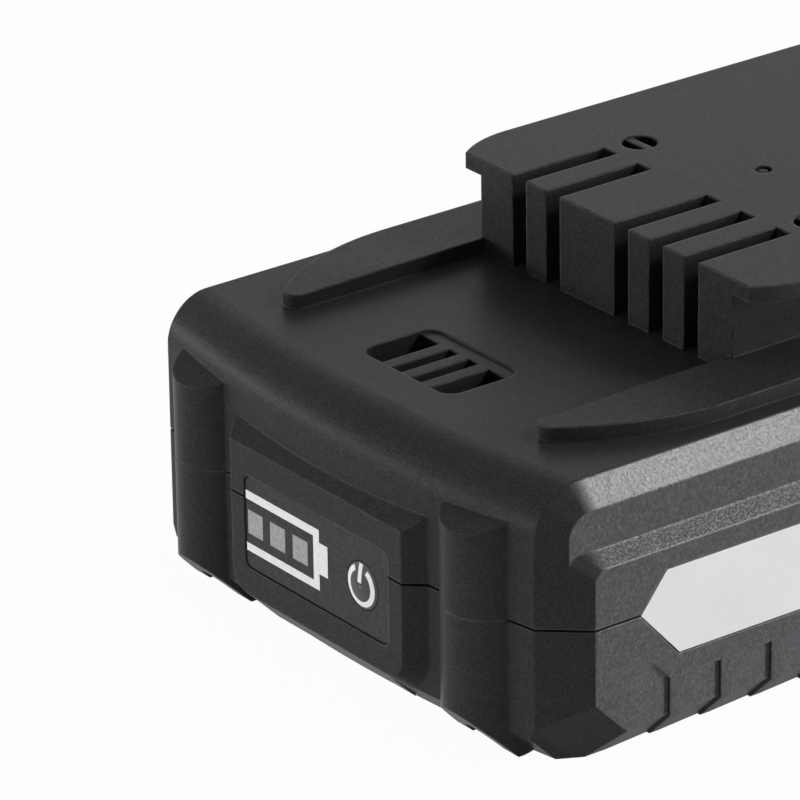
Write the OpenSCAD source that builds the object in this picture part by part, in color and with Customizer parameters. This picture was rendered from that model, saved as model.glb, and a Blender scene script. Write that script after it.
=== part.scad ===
/* [Cells] */
// Diameter of one cell
cell_d = 18.4; // [18.2:0.1:18.8]
// Length of one cell, end to end
cell_l = 65; // [64:0.5:70]
// Gap between two neighbouring cells
cell_gap = 1; // [0.8:0.1:2]
// Clearance round a cell in its holder
bore_clear = 0.1; // [0.05:0.05:0.2]
// Wall of the cell holder round the outer cells
holder_wall = 1.1; // [0.8:0.1:1.6]
// How far a cell holder reaches along the cell
holder_grip = 8; // [6:0.5:12]
// Thickness of the nickel strips
strip_t = 0.3; // [0.2:0.05:0.4]
// Width of the nickel strips
strip_w = 8; // [6:0.5:9]
// Thickness of the insulating end sheets
sheet_t = 0.3; // [0.2:0.05:0.4]
// Gap between a strip and its sheet
sheet_gap = 0.1; // [0.05:0.05:0.2]
// Clearance between the end sheets and the casing
stack_clear = 0.95; // [0.5:0.05:1.2]

/* [Casing] */
// Wall thickness of both shells
wall_t = 2.3; // [2:0.1:2.8]
// Thickness of the deck and of the floor
deck_t = 2.4; // [2:0.1:3]
// Room between the cell holders and the end walls
end_room = 5.9; // [5.8:0.1:9]
// Room above the circuit board, under the deck
component_h = 5.6; // [5.4:0.1:8]
// Thickness of the circuit board
board_t = 1.6; // [1:0.1:2]
// Height of the parting line above the base
parting_z = 16.9; // [16.4:0.1:17.2]
// Open gap at the parting line
parting_gap = 0.3; // [0.2:0.05:0.4]
// Gap at the parting line on the screw columns
column_gap = 0.05; // [0.05:0.05:0.15]
// Thickness of the tongues along the parting line
tongue_t = 1.2; // [0.9:0.1:1.4]
// Clearance round those tongues in the upper shell
tongue_clear = 0.15; // [0.1:0.05:0.3]
// Radius of the bow of the end faces, seen from above
bow_r = 200; // [160:10:400]
// How far the middle of an end face lies behind the columns
face_set = 1.6; // [1.2:0.1:2.2]
// Radius of the roll from the deck into the end faces
roll_r = 5.85; // [5:0.05:6.5]
// Width of the corner band, measured out from the deck
band_out = 2.5; // [2.2:0.05:2.7]
// Width of the corner band, measured down the side wall
band_in = 2.85; // [2.6:0.05:3.1]
// How far the lower side panels stand out from the walls
step_out = 1.85; // [1.6:0.05:2.2]
// Height of the upper edge of that step above the base
step_z = 25.5; // [25:0.1:26.2]
// Height of the slope of that step
step_rise = 1.7; // [1.5:0.1:2.1]
// Corner radius of the lower side panels
panel_corner_r = 2.6; // [2:0.1:3]
// Chamfer between the base and the side panels
foot_side = 3.55; // [3:0.05:4]
// Chamfer between the base and the end faces
foot_end = 3.5; // [3.2:0.1:4.2]
// Height where the cut lower corner meets the corner edge
corner_cut_z = 7.9; // [7:0.1:8.6]
// Turn of that cut towards the end face, in degrees
corner_turn = 28.6; // [26:0.2:31]
// Tilt of that cut towards the base, in degrees
corner_tilt = 25.2; // [23:0.2:28]
// Radius of the screw columns on the end faces
column_r = 5.45; // [5.2:0.05:5.8]
// Distance of the screw columns from the middle
column_x = 24.9; // [23:0.1:26]
// Height where the slanted top of a column starts at the front
column_top_z = 26.8; // [26.2:0.1:27.2]
// Slant of the top of a column, in degrees
column_slant = 22; // [16:1:30]

/* [Contact tower] */
// Distance of the tower's front from the indicator end
tower_set = 41.3; // [40:0.1:44]
// Length of the tower
tower_l = 59; // [52:0.5:59]
// Height of the tower above the deck
tower_h = 11.4; // [10.5:0.1:13]
// Width of the tower's stem
stem_w = 45.4; // [44:0.2:47]
// Width of the flange along the top of the tower
flange_w = 56.4; // [54:0.2:58]
// Thickness of the flange
flange_t = 1.9; // [1.5:0.1:2.4]
// Length of the rounded lead-in at the flange's front corners
lead_l = 7.8; // [6:0.1:9]
// Radius of that lead-in
lead_r = 13; // [12:0.5:18]
// Thickness of the tower's hollow part
tower_wall = 2.4; // [2:0.1:3]
// Spacing of the contact slots
slot_pitch = 6.2; // [5.8:0.1:6.4]
// Width of a contact slot
slot_w = 2.5; // [2.4:0.1:2.8]
// Length of a contact slot from the tower's front
slot_l = 13.4; // [12.5:0.1:14]
// Diameter of the round recesses on the tower
pit_d = 4.3; // [3.6:0.1:5]
// Depth of the round recesses
pit_depth = 1.2; // [0.8:0.1:1.4]
// Width of the bar that bridges a recess
pit_bar = 1.1; // [0.8:0.1:1.4]
// Distance of the recesses from the middle
pit_x = 15.4; // [14:0.1:17]
// Distance of the recesses behind the tower's front
pit_y = 17.6; // [16.8:0.1:20]
// Diameter of the moulding gate's dimple
gate_d = 2.1; // [1.6:0.1:2.6]
// Distance of that dimple behind the tower's front
gate_y = 23.4; // [21:0.1:28]

/* [Deck] */
// Height of the two deck rails
rail_h = 1.9; // [1.5:0.1:2.2]
// Distance of a rail's inner edge from the middle
rail_inner = 22; // [21.6:0.1:22.2]
// Distance of a rail's outer edge from the middle
rail_outer = 31.5; // [31:0.1:31.8]
// Radius of the rounded tip of a rail
rail_tip_r = 1.55; // [1.4:0.05:1.8]
// Radius of the curved outer edge near the tip
rail_curve_r = 31.5; // [30:0.5:33]
// Where that curve starts, in front of the tower
rail_curve_y = 7.5; // [6.5:0.1:7.8]
// Slope of the lead-in on the rail's tip, in degrees
rail_slope = 1; // [0.5:0.5:2]
// Width of the vent recess
vent_w = 16.4; // [15.8:0.1:17]
// Length of the vent recess
vent_l = 10.4; // [9.8:0.1:10.8]
// Corner radius of the vent recess
vent_r = 2; // [1.5:0.1:2.6]
// Depth of the vent recess
vent_depth = 0.3; // [0.2:0.05:0.6]
// Distance of the vent in front of the tower
vent_y = 17.9; // [17.4:0.1:18.2]
// Place of the vent's middle across the deck
vent_x = -0.3; // [-0.6:0.1:0.6]
// Width of one bar of the vent
vent_bar = 1.8; // [1.5:0.1:2]
// Spacing of the bars
vent_pitch = 3.6; // [3.4:0.05:3.8]
// Width of the ledge behind the openings
vent_ledge = 1.9; // [1.4:0.1:2.4]
// Number of bars
vent_count = 3; // [2:1:3]

/* [Indicator] */
// Width of the indicator panel at its front
front_w = 31.9; // [30.9:0.1:32.5]
// Height of the indicator panel's front edge
front_z = 23.2; // [22.6:0.1:23.6]
// How far the panel lies behind the columns' fronts
front_set = 0.2; // [0.1:0.05:0.4]
// Run of the panel's bevel for each millimetre of depth
front_bevel = 0.9; // [0.7:0.05:1]
// Radius of the panel's lower corners
front_r = 3; // [2:0.1:3.6]
// Width of the indicator film
film_w = 26.6; // [26:0.2:28]
// Height of the indicator film
film_h = 11.2; // [11:0.1:12]
// Height of the film's middle above the base
film_z = 14; // [13.8:0.1:14.4]
// Corner radius of the film
film_r = 1; // [0.5:0.1:1.4]
// Thickness of the film
film_t = 0.35; // [0.25:0.05:0.4]
// Depth of the film's recess
film_recess = 0.5; // [0.45:0.05:0.6]
// Gap round the film
film_gap = 0.15; // [0.1:0.05:0.3]
// Width of one charge window
window_w = 2.85; // [2.4:0.05:3]
// Height of one charge window
window_h = 2.95; // [2.4:0.05:3.4]
// Place of the middle charge window
window_x = -7.2; // [-7.6:0.1:-6.8]
// Spacing of the charge windows
window_pitch = 4.3; // [4:0.05:4.5]
// Clearance round a light guide in the panel
guide_clear = 0.1; // [0.05:0.05:0.2]
// Place of the charge button
button_x = 8.6; // [8:0.1:9]
// Diameter of the charge button
button_d = 5.6; // [5:0.1:5.8]
// Height of its dome
button_dome = 0.35; // [0.2:0.05:0.35]
// Travel of the charge button
button_travel = 0.5; // [0.3:0.05:0.6]
// Clearance round the moving parts
run_clear = 0.3; // [0.2:0.05:0.4]

/* [Release latch] */
// Width of the latch's frame
latch_w = 27.6; // [25:0.2:30]
// Width of the hook behind the tower
hook_w = 22; // [18:0.5:24]
// Height of the hook above the deck
hook_h = 4.5; // [3.5:0.1:5]
// Length of the hook along the pack
hook_l = 5; // [4.5:0.1:5]
// Width of the finger pad
pad_w = 24; // [20:0.5:25]
// Height of the finger pad
pad_h = 7.5; // [6.5:0.1:7.8]
// How far the finger pad stands out of the end face
pad_out = 1.2; // [0.6:0.1:1.4]
// Travel of the latch
latch_travel = 4; // [3:0.1:4]
// Wall of the latch's skirt and shelf
latch_wall = 1.5; // [1.2:0.1:1.8]
// Wire diameter of the latch springs
wire_d = 0.5; // [0.4:0.05:0.6]
// Diameter of the latch springs, at the middle of the wire
coil_d = 4; // [3.6:0.1:4.2]
// Turns of each latch spring
coil_turns = 6; // [4:1:6]
// Distance of the springs from the middle
spring_x = 9; // [7:0.5:11]

/* [Side] */
// Length of the label between its points
label_l = 86.4; // [70:0.2:88]
// Height of the label
label_h = 10.4; // [9:0.1:11]
// Height of the label's lower edge above the base
label_z = 10.9; // [10.8:0.1:11.6]
// Thickness of the label
label_t = 0.25; // [0.15:0.05:0.25]
// Depth of the label's recess
label_recess = 0.3; // [0.3:0.05:0.4]
// Length of the label's upper slanted edge
label_nose_up = 3.6; // [3:0.1:5]
// Length of the label's lower slanted edge
label_nose_low = 5.4; // [4:0.1:6]
// Spacing of the grip recesses
grip_pitch = 7.2; // [6.5:0.1:9]
// Depth of a grip recess at its step
grip_depth = 0.45; // [0.3:0.05:0.7]
// Length of the ramp of a grip recess
grip_ramp = 5.8; // [4:0.1:6.2]
// Height of the grip recesses above the base
grip_z = 8.2; // [7.5:0.1:8.6]
// Distance of the first grip step from the indicator end
grip_set = 19.8; // [18:0.1:22]

/* [Screws] */
// Diameter of the casing screws
screw_d = 2.9; // [2.5:0.1:3]
// Head diameter of the casing screws
screw_head_d = 5.2; // [4.6:0.1:5.4]
// Height of the casing screws' heads
screw_head_h = 2; // [1.6:0.1:2.2]
// Length of the casing screws under the head
screw_l = 16; // [13:0.5:17]
// Height of the seat under a screw head
screw_seat_z = 9; // [7:0.5:10]
// Clearance round the screws and their heads
screw_clear = 0.15; // [0.05:0.05:0.2]

/* [Hidden] */
$fn = 48;
disc_fn = 360;
far = 200;

// Cells and holders, from the middle outwards
cell_count = 5;
cap_d = 7.6;
cap_h = 0.6;
ring_t = 0.4;
ring_fit = 0.3;
cell_pitch = cell_d + cell_gap;
bore_d = cell_d + 2 * bore_clear;
holder_l = (cell_count - 1) * cell_pitch + bore_d + 2 * holder_wall;
holder_lip = 1.2;
holder_h = bore_d + 2 * holder_lip;
cell_z = deck_t + holder_h / 2;
holder_top = deck_t + holder_h;
holder_set = 0.1;
holder_x = cell_l / 2 - holder_set;
strip_x = cell_l / 2;
sheet_x = strip_x + strip_t + sheet_gap;

// Casing, built round the cells
cavity_w = 2 * (sheet_x + sheet_t + stack_clear);
wall_w = cavity_w + 2 * wall_t;
panel_w = wall_w + 2 * step_out;
deck_z = holder_top + board_t + component_h + deck_t;
pack_l = holder_l + 2 * (end_room + wall_t + face_set);
top_z = deck_z + tower_h;
face_c = pack_l / 2 - face_set;
inner_c = face_c - wall_t;
band_slope = band_in / band_out;
band_x = wall_w / 2 - band_out;
band_y = bow_y(band_x);
panel_y = band_y - (panel_w / 2 - band_x) * band_slope;
step_low_z = step_z - step_rise;
ceiling_z = deck_z - deck_t;

// Screw columns and bosses
foot_y = face_c - foot_end;
column_y = pack_l / 2 - column_r;
boss_fit = 0.25;
boss_cover = 0.5;
boss_r = column_y - holder_l / 2 - boss_fit;

// Tower and deck
tower_y = tower_set - pack_l / 2;
tower_end = tower_y + tower_l;
slot_places = [-2.5, -1.5, 0.5, 1.5, 2.5];

// Indicator
front_y = front_set - pack_l / 2;
front_low = -front_y - foot_y;
front_depth = 4;
film_floor = front_y + film_recess;
film_front = film_floor - film_t;
lamp_board_t = 1.2;
lamp_board_y = -holder_l / 2 - 1;
lamp_board_front = lamp_board_y - lamp_board_t;
lamp_board_w = 29;
lamp_board_z = 7;
lamp_board_h = 14;
board_fit = 0.05;
switch_h = 1.2;
switch_stem = 0.3;
switch_y = lamp_board_front - switch_h - switch_stem;
button_end = switch_y - button_travel - run_clear;
button_disc = 0.55;
button_fit = 0.12;
stem_d = 2.6;
stem_fit = 0.2;
collar_d = 3.6;
led_size = [2, 1.25];
led_h = 0.8;
switch_w = 4.5;
plunger_d = 1.8;

// Release latch
latch_back = inner_c - bow_sag(latch_w / 2, bow_r - wall_t) - 0.5;
latch_front = holder_l / 2 + 0.4;
latch_top = ceiling_z - run_clear;
latch_flange = 3;
hook_y = tower_end + 2;
pad_top = step_z + 3.4;
seat_z = 4.4;
seat_peg = 2;
shelf_peg = 1.5;
peg_gap = 1.1;
shelf_z = seat_z + seat_peg + shelf_peg + latch_travel + peg_gap;
spring_y = (latch_front + latch_back) / 2;
peg_r = coil_d / 2 - wire_d - 0.1;

// Circuit board
board_z = holder_top;
board_top = board_z + board_t;
board_edge = 1.5;
board_w = 2 * (strip_x - board_edge);
board_front = -holder_l / 2 + 5.2;
board_back = hook_y - 1.8;
board_screw_d = 2;
board_screw_l = 6;
board_head_d = 4;
board_head_h = 1.2;
board_screw_x = holder_x - holder_grip / 2;
tab_w = 5;
sheet_in = 3;

// Parts on the circuit board
clip_back = tower_y + slot_l - 0.7;
clip_t = 0.4;
clip_l = 7.5;
clip_half = slot_w / 2 - 0.3;
clip_fit = 0.1;
block_margin = 3;
block_l = 8;
block_set = 5;
block_gap = 0.2;
mosfet_size = [6.6, 6.1, 2.3];
mosfet_tab = [5.2, 3, 0.6];
mosfet_pitch = 10;
mosfet_y = board_back - 27.5;
controller_size = [7, 7, 1];
controller_place = [-15, board_back - 15.5];
shunt_size = [6.4, 3.2, 0.7];
shunt_place = [2, board_back - 14.5];
capacitor_d = 6.3;
capacitor_h = 7.7;
capacitor_place = [14, board_back - 12.5];
ribbon_w = 8;
ribbon_t = 0.5;
ribbon_rise = 2;
ribbon_fit = 0.1;
header_size = [11, 4, 4];
bead_r = 1.2;
bead_l = 8;
lead_d = 0.8;
lead_x = 3;

casing_colour = "#3b3b3d";
inner_colour = "#2a2c2e";
metal_colour = "#c9ccd0";
chip_colour = "#1d1e20";

// How far the bowed end face falls back at a distance x from the middle
function bow_sag(x, r) = r - sqrt(r * r - x * x);
function bow_y(x) = face_c - bow_sag(x, bow_r);
// Place of the board screw on each side, between two cells
function board_screw_y(side) = side * cell_pitch / 2;

// Profile of the disc behind an end face: rolled above, chamfered below
module rim_profile(rim, low, high, roll, foot) {
    translate([0, low]) square([rim - foot, foot]);
    polygon([[rim - foot - 1, low], [rim - foot, low], [rim, low + foot], [rim - foot - 1, low + foot]]);
    translate([0, low + foot]) square([rim, high - low - foot - roll]);
    translate([0, high - roll - 1]) square([rim - roll, roll + 1]);
    translate([rim - roll, high - roll]) circle(roll, $fn = 96);
}

// Disc whose rim is the bowed end face on one side, at a wall's depth or at the surface
module bowed_disc(side, inset, low, high, roll, foot) {
    translate([0, side * (face_c - bow_r), 0])
        rotate_extrude($fn = disc_fn) rim_profile(bow_r - inset, low, high, roll, foot);
}

// Cross-section of the casing from side to side
module casing_section() {
    half = [
        [panel_w / 2 - foot_side, 0], [panel_w / 2, foot_side], [panel_w / 2, step_low_z],
        [wall_w / 2, step_z], [wall_w / 2, deck_z - band_in], [band_x, deck_z]
    ];
    polygon(concat(half, [for (i = [len(half) - 1 : -1 : 0]) [-half[i][0], half[i][1]]]));
}

// Outline of the casing from above, with the flat bands at its corners, at the surface or a depth below it
module casing_plan(inset) {
    shift = inset * sqrt(1 + band_slope * band_slope);
    quarter = [[band_x, far], [band_x, band_y - shift], [panel_w / 2, panel_y - shift]];
    right = concat(quarter, [for (i = [2 : -1 : 0]) [quarter[i][0], -quarter[i][1]]]);
    polygon(concat(right, [for (i = [5 : -1 : 0]) [-right[i][0], right[i][1]]]));
}

// What the rounded upper corner of an end face takes away: all that lies outside a cone along X
module band_corner() {
    slack = 0.1;
    translate([band_x, band_y - roll_r, deck_z - roll_r])
        difference() {
            cube([band_out + 1, roll_r + 4, roll_r + 4]);
            translate([-1, 0, 0])
                rotate([0, 90, 0])
                    cylinder(
                        h = 1 + (roll_r + slack) / band_slope,
                        r1 = roll_r + slack + band_slope, r2 = 0, $fn = 96
                    );
        }
}

// What the rounding takes away along the line where the slope of a side panel meets the corner band
module panel_corner() {
    slope = [step_rise, 0, step_out] / norm([step_rise, 0, step_out]);
    band = [band_slope, 1, 0] / norm([band_slope, 1, 0]);
    along = cross(slope, band) / norm(cross(slope, band));
    across = cross(along, band);
    place = [panel_w / 2, panel_y - panel_corner_r / band[1], step_low_z - panel_corner_r / slope[2]];
    turn = acos(slope * band);
    reach = panel_corner_r + 1;
    slack = 0.05;
    intersection() {
        translate([wall_w / 2, 0, 0]) cube([far, far, deck_z]);
        multmatrix([for (i = [0 : 2]) [band[i], across[i], along[i], place[i]]])
            linear_extrude(16, center = true)
                difference() {
                    polygon([
                        [0, 0], [reach, 0], [reach, -reach * tan(turn / 2)],
                        [reach * cos(turn), -reach * sin(turn)]
                    ]);
                    circle(panel_corner_r + slack, $fn = 96);
                }
    }
}

// What the slanted cut at a lower corner takes away, at the surface or a depth below it
module corner_cut(inset) {
    translate([panel_w / 2, panel_y, corner_cut_z])
        rotate([0, 0, corner_turn])
            rotate([0, corner_tilt, 0])
                translate([-inset, -far / 2, -far / 2])
                    cube([far / 4, far, far]);
}

module each_corner() {
    for (x = [0, 1], y = [0, 1])
        mirror([x, 0, 0])
            mirror([0, y, 0])
                children();
}

// Outer form of both shells together, without tower, rails and columns
module casing_block() {
    difference() {
        intersection() {
            bowed_disc(1, 0, 0, deck_z, roll_r, foot_end);
            bowed_disc(-1, 0, 0, deck_z, roll_r, foot_end);
            rotate([90, 0, 0]) linear_extrude(far, center = true) casing_section();
            linear_extrude(deck_z) casing_plan(0);
        }
        each_corner() {
            band_corner();
            panel_corner();
            corner_cut(0);
        }
    }
}

// Room inside the two shells
module cavity() {
    foot = foot_end + wall_t * (sqrt(2) - 1) - deck_t;
    relief = band_out / 2;
    difference() {
        intersection() {
            bowed_disc(1, wall_t, deck_t, ceiling_z, roll_r - wall_t, foot);
            bowed_disc(-1, wall_t, deck_t, ceiling_z, roll_r - wall_t, foot);
            linear_extrude(deck_z) casing_plan(wall_t);
            rotate([90, 0, 0])
                linear_extrude(far, center = true)
                    polygon([
                        [-cavity_w / 2, 0], [cavity_w / 2, 0], [cavity_w / 2, ceiling_z - relief],
                        [cavity_w / 2 - relief, ceiling_z], [relief - cavity_w / 2, ceiling_z],
                        [-cavity_w / 2, ceiling_z - relief]
                    ]);
        }
        each_corner() corner_cut(wall_t);
    }
}

// Side view of the columns, slanted at the top and chamfered at the foot, at the surface or a depth behind it
module column_sides(depth) {
    end_y = pack_l / 2 - depth;
    low_y = foot_y - depth;
    high_z = column_top_z + column_r * tan(column_slant);
    for (side = [0, 1])
        mirror([0, side, 0])
            rotate([90, 0, 90])
                linear_extrude(far, center = true)
                    polygon([
                        [low_y - 2 * column_r, 0], [low_y, 0], [end_y, end_y - low_y], [end_y, column_top_z],
                        [end_y - column_r, high_z], [low_y - 2 * column_r, high_z]
                    ]);
}

// Half-round columns over the casing screws
module screw_columns() {
    intersection() {
        each_corner()
            translate([column_x, column_y, 0])
                cylinder(h = deck_z, r = column_r);
        column_sides(0);
    }
}

// What a rounded corner of the indicator panel takes away: all that lies outside a cone along Y
module front_corner(x, z, r, turn) {
    slack = 0.05;
    translate([x, front_y, z])
        rotate([0, turn, 0])
            difference() {
                translate([0, -1, 0]) cube([r + 6, front_depth + 2, r + 6]);
                translate([0, -1, 0])
                    rotate([-90, 0, 0])
                        cylinder(
                            h = front_depth + 3, r1 = max(0, r + slack - front_bevel),
                            r2 = r + slack + (front_depth + 2) * front_bevel, $fn = 96
                        );
            }
}

// Raised panel round the indicator film, with slanted edges and rounded corners
module indicator_panel() {
    back_y = front_y + front_depth;
    back_w = front_w / 2 + front_depth * front_bevel;
    difference() {
        intersection() {
            linear_extrude(deck_z)
                polygon([
                    [-front_w / 2, front_y], [front_w / 2, front_y], [back_w, back_y], [-back_w, back_y]
                ]);
            rotate([90, 0, 90])
                linear_extrude(far, center = true)
                    polygon([
                        [front_y, front_z], [back_y, front_z + front_depth * front_bevel],
                        [back_y, front_low - front_depth], [front_y, front_low]
                    ]);
        }
        for (side = [0, 1])
            mirror([side, 0, 0]) {
                front_corner(front_w / 2, front_z, 0, 0);
                front_corner(front_w / 2 - front_r, front_low + front_r, front_r, 90);
            }
    }
}

// Rounded rectangle in a plane, centred
module rounded(w, h, r) {
    square([w, h - 2 * r], center = true);
    square([w - 2 * r, h], center = true);
    for (x = [-1, 1], y = [-1, 1])
        translate([x * (w / 2 - r), y * (h / 2 - r)])
            circle(r);
}

// Upright plate parallel to the indicator panel, from y to y + depth
module front_plate(x, z, y, depth) {
    translate([x, y + depth, z])
        rotate([90, 0, 0])
            linear_extrude(depth)
                children();
}

// Recess and holes for the film, the charge windows and the button
module indicator_cuts() {
    front_plate(0, film_z, front_y - 1, 1 + film_recess)
        rounded(film_w + 2 * film_gap, film_h + 2 * film_gap, film_r + film_gap);
    for (i = [-1 : 1])
        front_plate(window_x + i * window_pitch, film_z, front_y - 1, front_set + end_room + 1)
            square([window_w, window_h], center = true);
    front_plate(button_x, film_z, front_y - 1, 1 + film_recess + button_disc + button_travel)
        circle(d = button_d + 2 * button_fit);
    front_plate(button_x, film_z, front_y - 1, front_set + end_room + 1)
        circle(d = stem_d + 2 * stem_fit);
}

// Outline of the flange, with rounded lead-ins at its front corners
module flange_outline() {
    intersection() {
        translate([-flange_w / 2, tower_y]) square([flange_w, tower_l]);
        union() {
            translate([-flange_w / 2, tower_y + lead_l]) square([flange_w, tower_l]);
            translate([lead_r - flange_w / 2, tower_y]) square([flange_w - 2 * lead_r, tower_l]);
            for (side = [-1, 1])
                translate([side * (flange_w / 2 - lead_r), tower_y + lead_l])
                    circle(lead_r, $fn = 120);
        }
    }
}

module tower() {
    translate([-stem_w / 2, tower_y, ceiling_z]) cube([stem_w, tower_l, top_z - ceiling_z]);
    translate([0, 0, top_z - flange_t]) linear_extrude(flange_t) flange_outline();
}

// Slots, hollow and moulded marks of the tower
module tower_cuts() {
    hollow_y = tower_y + slot_l + tower_wall;
    for (place = slot_places)
        translate([place * slot_pitch - slot_w / 2, tower_y, 0]) {
            translate([0, -1, deck_z]) cube([slot_w, slot_l + 1, far]);
            translate([0, slot_l - 2.4, ceiling_z - 1]) cube([slot_w, 2.4, deck_t + 2]);
        }
    translate([tower_wall - stem_w / 2, hollow_y, ceiling_z - 1])
        cube([
            stem_w - 2 * tower_wall, tower_end - tower_wall - hollow_y, top_z - tower_wall - ceiling_z + 1
        ]);
    for (side = [-1, 1])
        translate([side * pit_x, tower_y + pit_y, top_z - pit_depth])
            difference() {
                cylinder(h = far, d = pit_d);
                translate([-pit_d, -pit_bar / 2, -1]) cube([2 * pit_d, pit_bar, 1 + pit_depth - 0.15]);
            }
    translate([0, tower_y + gate_y, top_z - 0.5])
        difference() {
            cylinder(h = far, d = gate_d);
            translate([0, 0, -1]) cylinder(h = 1.35, d = gate_d / 2);
        }
}

// Outline of the right deck rail: its rounded tip touches the curve of the outer edge from inside
module rail_outline() {
    curve_x = rail_outer - rail_curve_r;
    curve_y = tower_y - rail_curve_y;
    tip_x = rail_inner + rail_tip_r;
    span = rail_curve_r - rail_tip_r;
    tip_y = curve_y - sqrt(span * span - (tip_x - curve_x) * (tip_x - curve_x));
    touch_y = curve_y + (tip_y - curve_y) * rail_curve_r / span + 0.3;
    translate([tip_x, tip_y]) circle(rail_tip_r);
    intersection() {
        union() {
            translate([rail_inner, tip_y]) square([rail_outer - rail_inner, tower_end - tip_y]);
            translate([tip_x, touch_y]) square([rail_outer - tip_x, tip_y - touch_y + 1]);
        }
        union() {
            translate([0, curve_y]) square([rail_outer, far]);
            translate([curve_x, curve_y]) circle(rail_curve_r, $fn = 180);
        }
    }
}

// Deck rails, which slope down a little in front of a slanted crease
module deck_rails() {
    crease = [rail_outer - 2.1, tower_y - 21.2];
    for (side = [0, 1])
        mirror([side, 0, 0])
            difference() {
                translate([0, 0, ceiling_z]) linear_extrude(deck_t + rail_h) rail_outline();
                translate([crease[0], crease[1], deck_z + rail_h])
                    rotate([0, 0, 225])
                        rotate([0, rail_slope, 0])
                            translate([0, -far / 2, 0])
                                cube([far, far, far]);
            }
}

// Vent grille in the deck: a pocket through it, with bars and a ledge left a little below the surface
module vent_cuts() {
    translate([vent_x, tower_y - vent_y - vent_l / 2, 0])
        difference() {
            translate([0, 0, ceiling_z - 1]) linear_extrude(deck_t + 2) rounded(vent_w, vent_l, vent_r);
            translate([0, 0, ceiling_z - 2])
                linear_extrude(deck_t - vent_depth + 2) {
                    translate([-vent_w, vent_l / 2 - vent_ledge]) square([2 * vent_w, vent_l]);
                    for (i = [0 : vent_count - 1])
                        translate([(i - (vent_count - 1) / 2) * vent_pitch - vent_bar / 2, -vent_l])
                            square([vent_bar, 2 * vent_l]);
                }
        }
}

// Flat recess for the label on the right side
module label_outline(grow) {
    tip = label_l / 2 + grow;
    low = label_z - grow;
    high = label_z + label_h + grow;
    middle = label_z + label_h * 0.57;
    polygon([
        [-tip, middle], [label_nose_low - tip, low], [tip - label_nose_low, low], [tip, middle],
        [tip - label_nose_up, high], [label_nose_up - tip, high]
    ]);
}

module label_plate(depth, thick, grow) {
    translate([panel_w / 2 - depth, 0, 0])
        rotate([90, 0, 90])
            linear_extrude(thick)
                label_outline(grow);
}

// One grip recess on the right side: a ramp that ends in a step, down to the base
module grip_cut(step_y, first) {
    nose = 2.3;
    outline = first
        ? [[-grip_ramp, -1], [0, -1], [0, grip_z], [-nose, grip_z + nose], [-grip_ramp, grip_z + nose]]
        : [[-grip_ramp, -1], [0, -1], [0, grip_z], [-grip_ramp, grip_z]];
    difference() {
        translate([panel_w / 2 - 6, step_y, 0]) rotate([90, 0, 90]) linear_extrude(8) polygon(outline);
        translate([panel_w / 2, step_y - grip_ramp, 0])
            rotate([0, 0, atan(grip_depth / grip_ramp)])
                rotate([90, 0, 0])
                    translate([0, 0, -grip_ramp - 2])
                        linear_extrude(grip_ramp + 4)
                            polygon([
                                [-12, -2], [-foot_side - 2, -2], [0, foot_side],
                                [0, grip_z + 4], [-12, grip_z + 4]
                            ]);
    }
}

module grip_cuts() {
    steps = floor((pack_l - grip_set - 18) / grip_pitch);
    for (side = [0, 1], i = [0 : steps])
        mirror([side, 0, 0])
            grip_cut(grip_set - pack_l / 2 + i * grip_pitch, i == 0);
}

// Space above or below the parting line
module above_parting() {
    translate([-far / 2, -far / 2, parting_z + parting_gap / 2]) cube(far);
}

module below_parting() {
    translate([-far / 2, -far / 2, parting_z - parting_gap / 2 - far]) cube(far);
}

// Tongues of the lower shell that reach up inside the upper one, along the sides and the ends
module tongues(grow) {
    reach = 1.2;
    side_w = cavity_w + 2 * (tongue_t + grow);
    side_l = 2 * (panel_y - 4 + grow);
    end_w = 2 * (column_x - column_r - 1 + grow);
    end_r = bow_r - wall_t + tongue_t + grow;
    translate([0, 0, parting_z - 1])
        intersection() {
            linear_extrude(1 + reach + grow) {
                square([side_w, side_l], center = true);
                square([end_w, far], center = true);
            }
            translate([0, face_c - bow_r, 0]) cylinder(h = far, r = end_r, $fn = disc_fn);
            translate([0, bow_r - face_c, 0]) cylinder(h = far, r = end_r, $fn = disc_fn);
        }
}

// Notch for the finger pad in the release end, open at the parting line
module pad_notch() {
    translate([-pad_w / 2 - run_clear - 0.1, inner_c - 2, parting_z - 3])
        cube([pad_w + 2 * run_clear + 0.2, far, pad_top + run_clear + 0.1 - parting_z + 3]);
}

// Holes through both bosses for the casing screws, and the sunk seats of their heads
module screw_holes() {
    each_corner()
        translate([column_x, column_y, 0]) {
            translate([0, 0, -1]) cylinder(h = screw_seat_z + 1, d = screw_head_d + 2 * screw_clear);
            cylinder(h = screw_seat_z + screw_l + 0.5, d = screw_d + 2 * screw_clear / 3);
        }
}

// Bosses inside the shells, over the whole height between floor and deck, within the columns
module screw_bosses() {
    intersection() {
        each_corner()
            translate([column_x, column_y, deck_t / 2])
                cylinder(h = ceiling_z - deck_t / 2 + 0.5, r = boss_r);
        column_sides(boss_cover);
    }
}

// Lowest part of the upper columns, which closes the parting line there
module column_seams() {
    seam_z = parting_z - parting_gap / 2 + column_gap;
    intersection() {
        screw_columns();
        translate([-far / 2, -far / 2, seam_z]) cube([far, far, parting_gap]);
    }
}

// Ribs that guide the latch up and down, and end halfway through the deck and the bowed end wall
module latch_guides() {
    guide_t = 1.5;
    guide_x = latch_w / 2 + run_clear + guide_t / 2;
    intersection() {
        union() {
            for (side = [-1, 1])
                translate([side * guide_x - guide_t / 2, latch_front, parting_z + 1.6])
                    cube([guide_t, far, far]);
        }
        bowed_disc(1, wall_t / 2, 0, deck_z - deck_t / 2, roll_r - wall_t / 2, foot_end);
    }
}

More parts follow.
